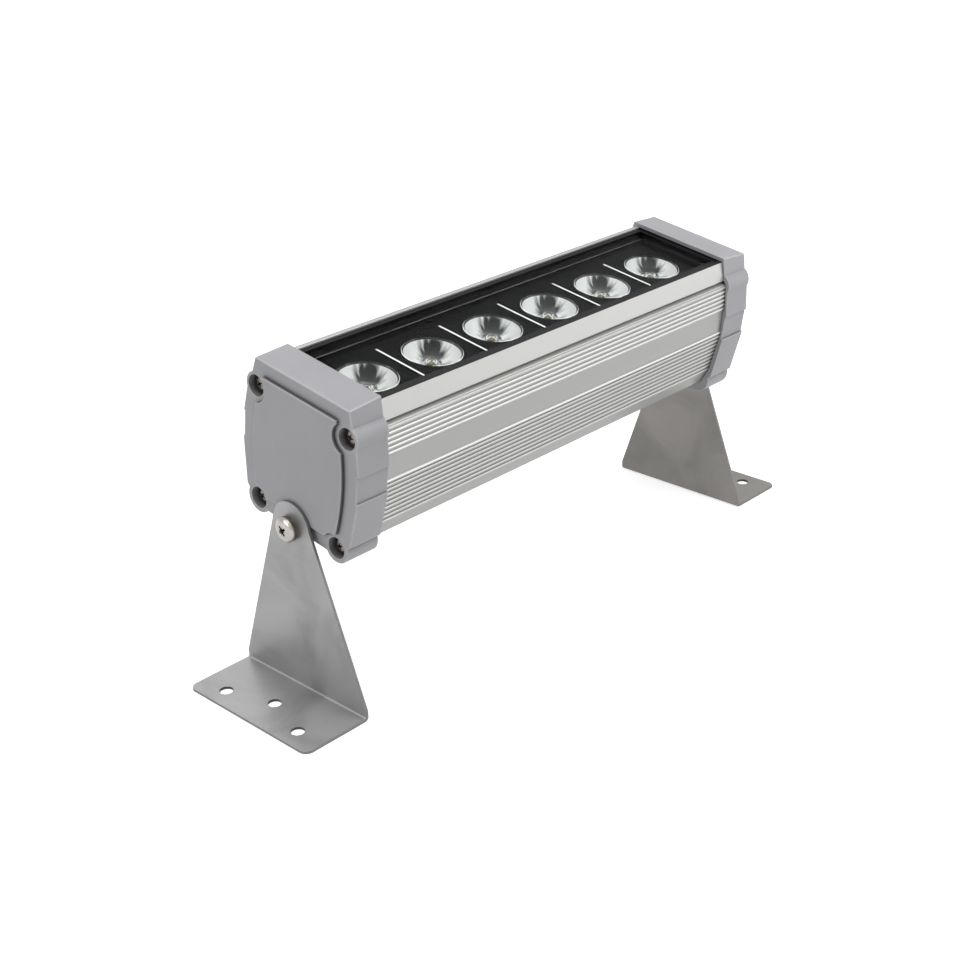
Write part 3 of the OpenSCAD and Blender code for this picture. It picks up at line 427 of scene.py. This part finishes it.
FINISH = {
    "casting": powder_coated_casting("powder_coated_casting", "#a9a9ad", "#a5a5a9",
                                     "#aeaeb2"),
    # The same coat painted lighter on rounded edges, as a highlight
    "casting_edge_highlight": powder_coated_casting("powder_coat_painted_highlight", "#c3c3c5", "#bfbfc1",
                                          "#c8c8ca"),
    "extrusion": anodised_extrusion("anodised_extrusion", "#b9b9b7", "#b7b7b5", "#bbbbb9"),
    # The crowns of the ribs, painted bright as a highlight, and those of the lower ribs,
    #     painted a little less bright
    "crown_highlight": anodised_extrusion("anodised_rib_crown_painted_highlight", "#ececea", "#e8e8e6", "#f0f0ee"),
    "low_crown_highlight": anodised_extrusion("anodised_low_rib_crown_painted_highlight", "#d6d6d4", "#d2d2d0", "#dadad8"),
    # The plain bands and the flat faces between the lower ribs, painted darker as shade
    "band": anodised_extrusion("anodised_plain_band", "#a9a9a8", "#a7a7a6", "#acacab"),
    "sheet_left": stainless_sheet("stainless_sheet", "#8d8d8d", "#a9a9a9"),
    # The other bracket, painted a little darker and warmer as shade
    "sheet_right": stainless_sheet("stainless_sheet_painted_shade", "#7f7d7a", "#969390"),
    "fastener": stainless_fastener("stainless_fastener", "#9c958f", "#b8b3ae", 1.6),
    # The same steel painted darker as shade, all over the cap screws in their bores and on the
    # pivot screws' shanks and the foot of their heads
    "fastener_shade": stainless_fastener("stainless_fastener_painted_shade", "#5f5650", "#8d857f", 3.6),
    "glass": polished_glass(),
    "acrylic": clear_acrylic(),
    "painted_reflection": painted_reflection_flank(),
    # The cut edge of the sheet, dull from the shears and painted darker as shade
    "sheared_edge": moulded("sheared_steel_edge_painted_shade", "#6f6d6b", "#8b8988", 0.5, 0.5,
                            Metallic=0.5),
    # The wall of a punched hole, painted dark as shade
    "hole_wall_shade": moulded("punched_hole_wall_painted_shade", "#3a3938", "#4c4b49", 0.5, 0.5,
                         Metallic=0.3),
    # Silicone rubber, moulded: deep black and dull
    "silicone": moulded("black_silicone_rubber", "#0c0c0d", "#151516", 0.6, 0.6,
                        Specular_IOR_Level=0.2),
    # Glass-filled polycarbonate, so black and dull that it hardly mirrors, with a soft
    # unevenness
    "tray": moulded("black_polycarbonate", "#09090a", "#0e0e10", 0.55, 4.0, 0.003, 0.5,
                    Specular_IOR_Level=0.03),
    # The tops of the ribs between the lenses, painted near white as a highlight, brighter in
    # places
    "rib": moulded("rib_top_painted_highlight", "#d2d3d1", "#ffffff", 0.3, 1.6),
    # Acetal, black and slightly waxy
    "bush": moulded("black_acetal", "#18181a", "#232325", 0.4, 0.5),
    # The light sources: fired ceramic, and the yellow phosphor in the dome, both shaded by
    # the lens over them
    "ceramic": moulded("grey_ceramic_package", "#4a4b4c", "#5c5d5e", 0.45, 0.2),
    "phosphor": moulded("phosphor_dome", "#6b6030", "#7d7240", 0.25, 0.2),
    # Solder mask on aluminium for the light sources and on glass fibre for the driver
    "white_board": circuit_board("white_solder_mask", "#ecece8", "#d9d9d2", 9.0),
    "green_board": circuit_board("green_solder_mask", "#1f5b38", "#3d8a58", 3.0),
    # What lies inside the housing: a soft pad, fibre sheet, shrunk and moulded plastics
    "pad": moulded("silicone_heat_pad", "#8d97a6", "#a5adb9", 0.7, 0.5),
    "paper": moulded("insulating_fibre_sheet", "#cfc7b0", "#e0dac8", 0.8, 1.1),
    "winding": enamelled_winding(),
    "sleeve": moulded("shrunk_pvc_sleeve", "#1e2a52", "#2c3b6c", 0.3, 0.8),
    "chip": moulded("epoxy_chip_moulding", "#1d1d1f", "#29292b", 0.6, 0.15),
    "terminal": moulded("green_polyamide", "#2c6b3b", "#3a8449", 0.45, 0.4),
    "red_lead": moulded("red_pvc_lead", "#9c2020", "#b93030", 0.4, 0.9),
    "black_lead": moulded("black_pvc_lead", "#161617", "#242425", 0.4, 0.9),
    # Turned brass, bright under its nickel plating on the gland and bare on the inserts
    "nickel": moulded("nickel_plated_brass", "#b9b5ab", "#cfcbc2", 0.26, 1.0,
                      Metallic=1.0),
    "brass": moulded("turned_brass", "#b08a45", "#cba45c", 0.3, 0.8, Metallic=1.0),
}


# How pieces are made

def pick(piece):
    """Makes a piece the only one that operators act on."""
    bpy.ops.object.select_all(action="DESELECT")
    piece.select_set(True)
    bpy.context.view_layer.objects.active = piece


def apply_modifier(piece, name, kind, **settings):
    """Adds a modifier and applies it."""
    pick(piece)
    modifier = piece.modifiers.new(name, kind)
    for setting, value in settings.items():
        setattr(modifier, setting, value)
    bpy.ops.object.modifier_apply(modifier=name)


# How close two points are that become one, in millimetres, and how flat a face is, in degrees
SAME_POINT, SAME_FACE = 0.002, 0.6


def joined_copy(node, name):
    """A CAD node's solid as one closed mesh of flat faces, ready to be rounded."""
    piece = bpy.data.objects.new(name, nodes[node].data.copy())
    bpy.context.scene.collection.objects.link(piece)
    pick(piece)
    bpy.ops.mesh.customdata_custom_splitnormals_clear()
    bpy.ops.object.mode_set(mode="EDIT")
    bpy.ops.mesh.select_all(action="SELECT")
    bpy.ops.mesh.remove_doubles(threshold=SAME_POINT * MM)
    bpy.ops.mesh.dissolve_limited(angle_limit=math.radians(SAME_FACE))
    bpy.ops.object.mode_set(mode="OBJECT")
    return piece


def round_edges(piece, widest, radius_at=None, steps=3, sharpness=28, finish=-1):
    """Rounds a piece's sharp edges, all by one radius, or each by what radius_at says of
    its middle on the upright head, whether it stands out, and its direction. The rounded
    faces take the finish of that number."""
    shape = bmesh.new()
    shape.from_mesh(piece.data)
    layer = shape.edges.layers.float.new("bevel_weight_edge")
    for edge in shape.edges:
        if len(edge.link_faces) != 2 or edge.calc_face_angle(0) < math.radians(sharpness):
            continue
        radius = widest
        if radius_at:
            ends = [UPRIGHT @ v.co / MM for v in edge.verts]
            radius = radius_at((ends[0] + ends[1]) / 2, edge.is_convex,
                               (ends[1] - ends[0]).normalized())
        edge[layer] = min(radius / widest, 1.0)
    shape.to_mesh(piece.data)
    shape.free()
    apply_modifier(piece, "rounded_edges", "BEVEL", limit_method="WEIGHT",
                   width=widest * MM, segments=steps, use_clamp_overlap=False,
                   material=finish)
    smooth(piece)


def smooth(piece, angle=32):
    """Shades a piece smooth, apart from edges that turn by more than that angle."""
    pick(piece)
    bpy.ops.object.shade_smooth_by_angle(angle=math.radians(angle))
    apply_modifier(piece, "weighted_normals", "WEIGHTED_NORMAL", keep_sharp=True)


def coat(piece, *finishes):
    """Gives a piece its finishes. Each face keeps its number, up to the last finish."""
    numbers = [face.material_index for face in piece.data.polygons]
    piece.data.materials.clear()
    for finish in finishes:
        piece.data.materials.append(FINISH[finish])
    for face, number in zip(piece.data.polygons, numbers):
        face.material_index = min(number, len(finishes) - 1)


def paint_faces(piece, number, belongs):
    """Gives the faces whose middle on the upright head belongs the finish of that number."""
    for face in piece.data.polygons:
        if belongs(UPRIGHT @ face.center / MM):
            face.material_index = number


def stand_in(piece, body, slot, *replaced):
    """Says which body a piece rides on and the CAD nodes that it stands for, which it hides.
    Its slot is not used.
    """
    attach(piece, body)
    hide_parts(*replaced)


def turned(name, profile, vertices=64):
    """A solid turned about Z, from (radius, height) points in millimetres."""
    bpy.ops.object.select_all(action="DESELECT")
    (radius, height), rest = profile[0], profile[1:]
    bpy.ops.mesh.primitive_circle_add(vertices=vertices, radius=radius * MM,
                                      fill_type="NGON", location=(0, 0, height * MM))
    piece = bpy.context.object
    piece.name = name
    bpy.ops.object.transform_apply(location=True, rotation=True, scale=True)
    bpy.ops.object.mode_set(mode="EDIT")
    bpy.ops.mesh.select_all(action="SELECT")
    for next_radius, next_height in rest:
        rise = (0, 0, (next_height - height) * MM)
        bpy.ops.mesh.extrude_region_move(TRANSFORM_OT_translate={"value": rise})
        share = next_radius / radius
        bpy.ops.transform.resize(value=(share, share, 1))
        radius, height = next_radius, next_height
    bpy.ops.mesh.select_all(action="SELECT")
    bpy.ops.mesh.normals_make_consistent(inside=False)
    bpy.ops.object.mode_set(mode="OBJECT")
    return piece


def set_down(piece, place):
    """Moves a finished piece to its place, with that place kept in its mesh."""
    pick(piece)
    piece.matrix_world = place
    bpy.ops.object.transform_apply(location=True, rotation=True, scale=True)


def copy_of(piece, name):
    """A copy of a piece with its own mesh."""
    made = bpy.data.objects.new(name, piece.data.copy())
    bpy.context.scene.collection.objects.link(made)
    return made


def merged(pieces, name):
    """Several pieces as one object."""
    bpy.ops.object.select_all(action="DESELECT")
    for piece in pieces:
        piece.select_set(True)
    bpy.context.view_layer.objects.active = pieces[0]
    bpy.ops.object.join()
    pieces[0].name = name
    return pieces[0]


# Each end of the light, and the side of the middle on which it lies
SIDES = {"left": -1, "right": 1}


# End caps. Places are on the upright head, in millimetres from the pivot and from the middle
# of the light, and those of the screws are (y, z)

CAP_FACE_X = 150.0
CAP_RIM_X = 130.5
UPPER_SCREW = (31.7, 61.8)
LOWER_SCREW = (28.2, 1.4)
COUNTERBORE_R = 5.5
# The edges nearer than this to the pivot are those of its bore
PIVOT_BORE_REACH = 6.0
# The underside of the square block along the top of a cap
BLOCK_Z = 67.2
# How far the edges are rounded
FACE_EDGE, PANEL_EDGE, COUNTERBORE_EDGE, RIM_EDGE = 0.7, 0.5, 0.35, 0.3
TOP_CORNER, SIDE_CORNER, OTHER_EDGE = 0.6, 0.25, 0.15


def cap_edge_radius(middle, stands_out, along):
    """How far each edge of a cap is rounded: most on the panel and the outer face."""
    x, y, z = abs(middle.x), abs(middle.y), middle.z
    from_upper = math.hypot(y - UPPER_SCREW[0], z - UPPER_SCREW[1])
    from_lower = math.hypot(y - LOWER_SCREW[0], z - LOWER_SCREW[1])
    if not stands_out or math.hypot(y, z) < PIVOT_BORE_REACH:
        return 0.0
    if min(from_upper, from_lower) < COUNTERBORE_R + 0.1:
        return COUNTERBORE_EDGE if x > CAP_FACE_X - 1 else 0.0
    if x > CAP_FACE_X + 0.3:
        return PANEL_EDGE
    if abs(x - CAP_FACE_X) < 0.7:
        return FACE_EDGE
    if abs(x - CAP_RIM_X) < 0.05:
        return RIM_EDGE
    if abs(along.x) > 0.9:
        return TOP_CORNER if z > BLOCK_Z + 1 else SIDE_CORNER
    return OTHER_EDGE


def make_end_caps():
    """Both caps, whose rounded edges take the coat painted lighter as a highlight."""
    for side in SIDES:
        node = "end_cap_" + side
        cap = joined_copy(node, f"end_cap_{side}_casting")
        coat(cap, "casting", "casting_edge_highlight")
        # The rounded edges take the painted highlight
        round_edges(cap, FACE_EDGE, cap_edge_radius, steps=4, finish=1)
        stand_in(cap, "head", "grey_painted_casting", node)


# Screws. The seat of a pivot screw's head is at PIVOT_HEAD_X, and of a cap screw's at the
# bottom of its counterbore

PIVOT_HEAD_X = 155.0
CAP_SCREW_X = 145.2
# How far in degrees each screw of a cap was turned past its neighbour when it was driven
DRIVEN_TURN = 23
# The two crosses of a recess, as turns: the deep one for the bit, and the star between
DEEP_CROSS, STAR_CROSS = (45, 135), (0, 90)


def cross_recess(screw, turns, radius, top, depth, width):
    """Cuts wings at those turns into a screw head, narrower and shorter at the bottom."""
    for turn in turns:
        bpy.ops.object.select_all(action="DESELECT")
        bpy.ops.mesh.primitive_cube_add(size=1, location=(0, 0, 0))
        wing = bpy.context.object
        wing.scale = (2 * radius * MM, width * MM, 2 * depth * MM)
        bpy.ops.object.transform_apply(location=True, rotation=True, scale=True)
        for corner in wing.data.vertices:
            if corner.co.z < 0:
                corner.co.x *= 0.45
                corner.co.y *= 0.7
        set_down(wing, Matrix.Translation((0, 0, top * MM))
                 @ Matrix.Rotation(math.radians(turn), 4, "Z"))
        apply_modifier(screw, "recess", "BOOLEAN", object=wing, operation="DIFFERENCE",
                       solver="EXACT")
        bpy.data.objects.remove(wing)


def pan_head(name, length, shank_r, head_r, head_h, rim_h):
    """A pan head screw that points down, its head's seat at the origin."""
    dome = [(head_r * math.cos(a), rim_h + (head_h - rim_h) * math.sin(a))
            for a in [math.radians(d) for d in (12, 26, 40, 54, 68, 80)]]
    tip = 0.6
    screw = turned(name, [(shank_r * 0.8, -length), (shank_r, -length + tip), (shank_r, 0),
                          (head_r - 0.15, 0), (head_r, 0.15), (head_r, rim_h * 0.7),
                          (head_r, rim_h)] + dome)
    cross_recess(screw, DEEP_CROSS, head_r * 0.6, head_h, head_h * 0.62, head_r * 0.22)
    cross_recess(screw, STAR_CROSS, head_r * 0.48, head_h, head_h * 0.22, head_r * 0.09)
    smooth(screw)
    coat(screw, "fastener", "fastener_shade")
    # The shank and the foot of the head are painted darker as shade, the rest of the head is
    # not
    for face in screw.data.polygons:
        face.material_index = int(face.center.z / MM < rim_h * 0.4)
    return screw


def along_x(sign):
    """Turns a piece that is drawn along Z so that its top faces out of the light's end."""
    return Matrix.Rotation(sign * math.pi / 2, 4, "Y")


def make_screws():
    """An M6 pivot screw and four M4 cap screws at each end."""
    pivot = pan_head("pivot_screw", length=21, shank_r=2.95, head_r=6.5, head_h=4.4, rim_h=2.2)
    cap = pan_head("cap_screw", length=22, shank_r=1.85, head_r=4.2, head_h=2.6, rim_h=0.9)
    for side, sign in SIDES.items():
        piece = copy_of(pivot, f"pivot_screw_{side}_stainless")
        set_down(piece, HEAD @ Matrix.Translation((sign * PIVOT_HEAD_X * MM, 0, 0))
                 @ along_x(sign))
        stand_in(piece, "head", "stainless_fastener", "pivot_screw_" + side)
        four = []
        for y, z in (UPPER_SCREW, LOWER_SCREW):
            for hand in (-1, 1):
                one = copy_of(cap, "one_cap_screw")
                seat = Matrix.Translation((sign * CAP_SCREW_X * MM, hand * y * MM, z * MM))
                turn = Matrix.Rotation(math.radians(DRIVEN_TURN * hand + z), 4, "Z")
                set_down(one, HEAD @ seat @ along_x(sign) @ turn)
                four.append(one)
        screws = merged(four, f"cap_screws_{side}_stainless")
        # The cap screws are painted darker all over, as shade in their bores
        coat(screws, "fastener_shade")
        stand_in(screws, "head", "stainless_fastener", "cap_screws_" + side)
    for pattern in (pivot, cap):
        bpy.data.objects.remove(pattern)


# Lenses, drawn upright on the origin and set down in a row along the head

LENS_COUNT, LENS_X0, LENS_PITCH = 6, -108.5, 43.4
LENS_R, LENS_H, LENS_LOW_Z = 15.4, 12.8, 53.6
LENS_SIDES = 72
# The curved cone below the rim, the bevel of the rim, and the bowl in the face
CONE_H, NECK_R, CONE_R, RIM_BEVEL = LENS_H - 1.5, LENS_R * 0.36, LENS_R - 1.0, 0.2
BOWL_R, BOWL_DEPTH = LENS_R * 0.72, 1.2
# The domed well over the light source, from its top down, as (radius, height)
WELL = [(0.05, 5.2), (0.9, 5.1), (1.8, 4.7), (2.6, 3.9), (3.2, 2.6), (3.5, 0)]


def is_painted_reflection(middle):
    """True on the flanks of a lens cone, which carry a painted reflection, and on the rim of
    its face, which carries a painted highlight as a bright line."""
    radius = math.hypot(middle.x, middle.y)
    on_flank = 0.2 < middle.z < CONE_H - 0.1 and radius > WELL[-1][0] + 0.7
    on_rim = radius > LENS_R - RIM_BEVEL - 0.05 and middle.z > LENS_H - RIM_BEVEL - 0.05
    return on_flank or on_rim


def lens_cone(gap=0.0, ripple=0.0):
    """The curved side of a lens from its neck up, or of a bore that clears it by a gap. A
    ripple gives it fine rings, as the mould leaves them."""
    steps = 20
    return [(NECK_R + (CONE_R - NECK_R) * (t / steps) ** 0.6 + gap + ripple * (t % 2),
             CONE_H * t / steps)
            for t in range(steps + 1)]


def lens_place(i):
    """The middle of the underside of lens i, counted from 0 at the left end."""
    return HEAD @ Matrix.Translation(((LENS_X0 + i * LENS_PITCH) * MM, 0, LENS_LOW_Z * MM))


def make_lenses():
    """Collimator lenses: a curved cone with a painted reflection on its flank and a painted
    highlight on its rim, a well over the light source and a shallow bowl in the face."""
    steps = 8
    bowl = [(BOWL_R * (1 - t / steps) + 0.02,
             LENS_H - BOWL_DEPTH * (1 - (1 - t / steps) ** 2))
            for t in range(steps + 1)]
    rim = [(LENS_R, CONE_H), (LENS_R, LENS_H - RIM_BEVEL), (LENS_R - RIM_BEVEL, LENS_H)]
    lens = turned("lens", WELL + lens_cone(ripple=0.05) + rim + bowl, vertices=LENS_SIDES)
    smooth(lens, angle=25)
    coat(lens, "acrylic", "painted_reflection")
    # The flanks carry a painted reflection and the rim a painted highlight
    for face in lens.data.polygons:
        face.material_index = int(is_painted_reflection(face.center / MM))
    around = lens.data.attributes.new(AROUND, "FLOAT_VECTOR", "POINT")
    for vertex, turn in zip(lens.data.vertices, around.data):
        outward = Vector((vertex.co.x, vertex.co.y, 0)).normalized()
        turn.vector = outward + Vector((0, 0, vertex.co.z / MM / LENS_H))
    for i in range(LENS_COUNT):
        piece = copy_of(lens, f"lens_{i + 1}_acrylic")
        set_down(piece, lens_place(i))
        stand_in(piece, "head", "clear_acrylic", f"lens_{i + 1}")
    bpy.data.objects.remove(lens)


# Housing. Heights are those of the profile, in millimetres above the pivot

FOOT_STRIP_Z, LEDGE_Z, PLAIN_BAND_TOP_Z, RIM_Z = 8.4, 35.0, 48.3, 75.5
# The ribs lie between these heights. They and the bands are further from the middle than
# RIBBED_Y, and the opening with the tray is nearer than OPENING_Y and above OPENING_Z
RIBS_LOW_Z, RIBS_TOP_Z, RIBBED_Y = 8.0, 62.0, 34.0
OPENING_Z, OPENING_Y = 60.0, 26.0
# The front rim lies in front of this
FRONT_RIM_Y = -28.0
# How far the ribs and the other edges are rounded
RIB_CROWN, CORNER = 0.32, 0.12
# The finishes of the housing, in the order in which coat gives them their numbers
EXTRUSION, CROWN_HIGHLIGHT, BAND_SHADE, LOW_CROWN_HIGHLIGHT, BLACK_SHADE = range(5)


def is_plain_band(middle):
    """True on the bands without ribs, on both sides of the housing and at its foot."""
    in_band = LEDGE_Z + 0.3 < middle.z < PLAIN_BAND_TOP_Z - 0.3
    return (in_band and abs(middle.y) > RIBBED_Y) or middle.z < FOOT_STRIP_Z - 0.3


def is_painted_black_shade(middle):
    """True on top of the front rim and in the opening beside the tray, which are painted
    black as shade."""
    on_front_rim = middle.z > RIM_Z - 0.1 and middle.y < FRONT_RIM_Y
    in_opening = middle.z > OPENING_Z and abs(middle.y) < OPENING_Y
    return on_front_rim or in_opening


def housing_edge_radius(middle, stands_out, along):
    """Full crowns on the ribs, and crisp corners on the rest of the extrusion."""
    if not stands_out or abs(along.x) < 0.9:
        return 0.0
    on_ribs = RIBS_LOW_Z < middle.z < RIBS_TOP_Z and abs(middle.y) > RIBBED_Y
    return RIB_CROWN if on_ribs else CORNER


def make_housing():
    """The extrusion, with a painted highlight on its rounded crowns and edges, less bright
    below the ledge, and painted shade on the flat faces below the ledge, as on the plain
    bands."""
    housing = joined_copy("housing", "housing_extrusion")
    coat(housing, "extrusion", "crown_highlight", "band", "low_crown_highlight", "silicone")
    # The rounded crowns and edges take the painted highlight
    round_edges(housing, RIB_CROWN, housing_edge_radius, steps=3, finish=CROWN_HIGHLIGHT)
    # Below the ledge the highlight is painted less bright and the flat faces take the painted
    # shade
    for face in housing.data.polygons:
        if (UPRIGHT @ face.center / MM).z < LEDGE_Z - 1:
            face.material_index = BAND_SHADE if face.material_index == EXTRUSION else LOW_CROWN_HIGHLIGHT
    # The plain bands take the painted shade
    paint_faces(housing, BAND_SHADE, is_plain_band)
    # The top of the front rim and the opening are painted black as shade
    paint_faces(housing, BLACK_SHADE, is_painted_black_shade)
    stand_in(housing, "head", "anodised_aluminium", "housing")


# Brackets. Places are in millimetres from the part's origin, with x counted from the middle

SHEET_T, SHEET_EDGE = 1.5, 0.2
FOOT_HOLES = ((182.25, 27.5), (182.25, -27.5), (173.75, 0.0))
HOLE_R = 3.5
# Above this height, faces that look up or along the light are the edge of the arm's tip
ARM_TIP_Z = 70


def is_in_hole(middle):
    """True on the wall of a fixing hole in either foot."""
    return any(math.hypot(abs(middle.x) - x, middle.y - y) < HOLE_R + 0.3
               for x, y in FOOT_HOLES)


def make_brackets():
    """Bent arms, with the edge round the sheet dull from the shears and painted darker as
    shade, and the wall of each hole painted dark as shade."""
    # The numbers of the second and third finish that an arm is given
    sheared_edge, hole_wall_shade = 1, 2
    for side in SIDES:
        node = "bracket_" + side
        arm = joined_copy(node, f"bracket_{side}_sheet")
        round_edges(arm, SHEET_EDGE, steps=2)
        coat(arm, "sheet_" + side, "sheared_edge", "hole_wall_shade")
        # The sheet's cut edges are painted darker as shade, and the hole walls dark as shade
        for face in arm.data.polygons:
            height = face.center.z / MM
            over_tip = height > ARM_TIP_Z and abs(face.normal.x) < 0.5
            in_foot = height < SHEET_T - 0.05 and abs(face.normal.z) < 0.5
            if in_foot and is_in_hole(face.center / MM):
                face.material_index = hole_wall_shade
            elif abs(face.normal.y) > 0.3 or over_tip or in_foot:
                face.material_index = sheared_edge
        stand_in(arm, node, "stainless_sheet", node)


# The pieces that keep their CAD shape

# Node, finish, edge radius in millimetres and slot of each that is rounded, all on the head
ROUNDED = [
    ("window_glass", "glass", 0.15, "window_glass"),
    ("glass_seal", "silicone", 0.2, "gasket_silicone"),
    ("optic_tray", "tray", 0.15, "black_moulding"),
    ("gland_body", "nickel", 0.3, "nickel_plated_brass"),
    ("gland_nut", "nickel", 0.3, "nickel_plated_brass"),
    ("gland_cap", "nickel", 0.3, "nickel_plated_brass"),
    ("gland_seal", "silicone", 0.15, "gasket_silicone"),
    ("pivot_bush_left", "bush", 0.2, "bush_moulding"),
    ("pivot_bush_right", "bush", 0.2, "bush_moulding"),
    ("pivot_washer_left", "fastener", 0.2, "stainless_fastener"),
    ("pivot_washer_right", "fastener", 0.2, "stainless_fastener"),
    ("driver_transformer", "winding", 0.3, "winding"),
    ("driver_capacitors", "sleeve", 0.5, "capacitor_sleeve"),
    ("driver_chips", "chip", 0.2, "chip_moulding"),
    ("terminal_block", "terminal", 0.3, "terminal_moulding"),
]
# Node and finish of each piece that is shown as it was packed
PLAIN = {
    "cap_gasket_left": "silicone", "cap_gasket_right": "silicone",
    "led_board": "white_board", "thermal_pad": "pad", "board_screws": "fastener",
    "driver_tray": "paper", "driver_board": "green_board",
    "lead_positive": "red_lead", "lead_negative": "black_lead",
    "pivot_insert_left": "brass", "pivot_insert_right": "brass",
}

# The tray's floor, and the ribs that stand on it between the lenses
TRAY_FLOOR_Z, RIB_H, RIB_HALF_T, RIB_END_Y = 66.1, 0.72, 0.7, 17.5
# The top of the ceramic of a light source, on which its dome sits
CERAMIC_TOP_Z = 53.0


def is_rib_top(middle):
    """True on the flat tops of the ribs between the lenses."""
    if middle.z < TRAY_FLOOR_Z + RIB_H or abs(middle.y) > RIB_END_Y:
        return False
    step = (middle.x - LENS_X0 - LENS_PITCH / 2) / LENS_PITCH
    return abs(step - round(step)) * LENS_PITCH < RIB_HALF_T


def is_dome(middle):
    """True on the phosphor dome of a light source."""
    return middle.z > CERAMIC_TOP_Z


def make_rounded_pieces():
    """Copies of the CAD pieces with their edges rounded. The tray's rib tops are painted near
    white as a highlight.
    """
    for node, finish, radius, slot in ROUNDED:
        piece = joined_copy(node, f"{node}_{finish}")
        round_edges(piece, radius, steps=2)
        coat(piece, finish)
        if node == "optic_tray":
            coat(piece, finish, "rib")
            # The rib tops are painted near white as a highlight
            paint_faces(piece, 1, is_rib_top)
        stand_in(piece, "head", slot, node)


def make_lens_holder(number, bore):
    """A black collar with a curved bore, which clears the cone of its lens."""
    holder = joined_copy(f"lens_holder_{number}", f"lens_holder_{number}_collar")
    cutter = copy_of(bore, "cutter")
    set_down(cutter, lens_place(number - 1))
    apply_modifier(holder, "curved_bore", "BOOLEAN", object=cutter,
                   operation="DIFFERENCE", solver="EXACT")
    bpy.data.objects.remove(cutter)
    round_edges(holder, 0.15, steps=2, sharpness=50)
    coat(holder, "tray")
    stand_in(holder, "head", "black_moulding", f"lens_holder_{number}")


def make_light_source(number):
    """A ceramic package with its phosphor dome."""
    led = joined_copy(f"led_{number}", f"led_{number}_package")
    smooth(led)
    coat(led, "ceramic", "phosphor")
    paint_faces(led, 1, is_dome)
    stand_in(led, "head", "led_package", f"led_{number}")


def make_holders_and_sources():
    """A holder and a light source under each lens."""
    below, above = (6.0, -0.05), (14.9, 13)
    bore = turned("bore", [below] + lens_cone(gap=0.45) + [above], vertices=LENS_SIDES)
    for number in range(1, LENS_COUNT + 1):
        make_lens_holder(number, bore)
        make_light_source(number)
    bpy.data.objects.remove(bore)


def finish_plain_pieces():
    """The finishes of the CAD pieces that are shown as they are."""
    for node, finish in PLAIN.items():
        coat(nodes[node], finish)


make_end_caps()
make_housing()
make_brackets()
make_screws()
make_lenses()
make_rounded_pieces()
make_holders_and_sources()
finish_plain_pieces()
